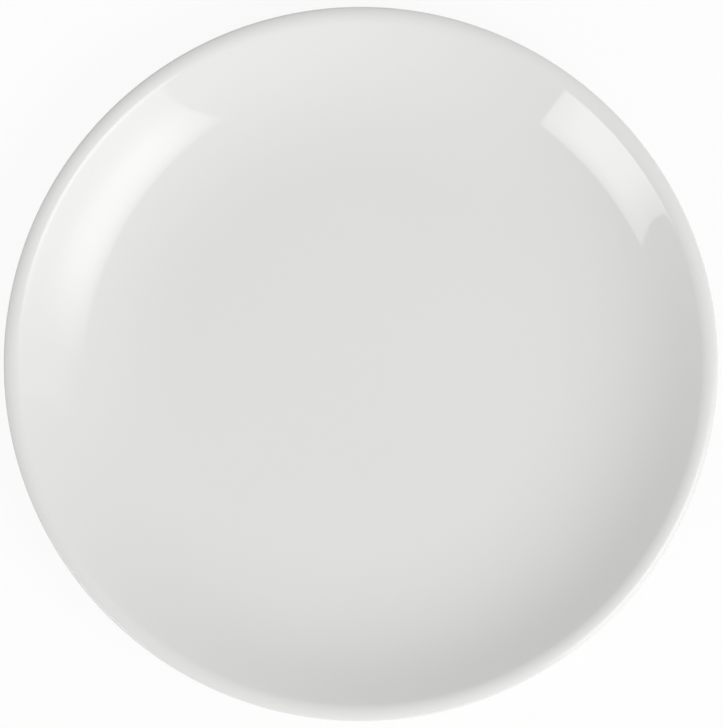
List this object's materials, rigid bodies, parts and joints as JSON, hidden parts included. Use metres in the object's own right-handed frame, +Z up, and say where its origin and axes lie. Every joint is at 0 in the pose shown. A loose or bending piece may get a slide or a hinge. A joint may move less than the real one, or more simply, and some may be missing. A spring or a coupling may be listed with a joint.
{
  "type": "coupe plate",
  "caption": "Round white glazed porcelain coupe plate: a flat well that sweeps up in one curve to a rolled lip, on a low bare foot ring, for serving food.",
  "frame": {"origin": "middle of the plate on the table, under the foot ring", "axes": "+Z up along the plate's axis of revolution, out of the well; +X to the right and +Y away in the picture's view from above"},
  "size_m": [0.23, 0.23, 0.022],
  "materials": {
    "porcelain": "fired and bare, matt, with the bearing band ground smooth",
    "glaze": "clear-fired white gloss glaze, smooth, with faint waves and a few pinhead specks"
  },
  "bodies": {
    "root": {"porcelain_body": "porcelain", "glaze_coat": "glaze", "base_glaze": "glaze"}
  },
  "joints": []
}
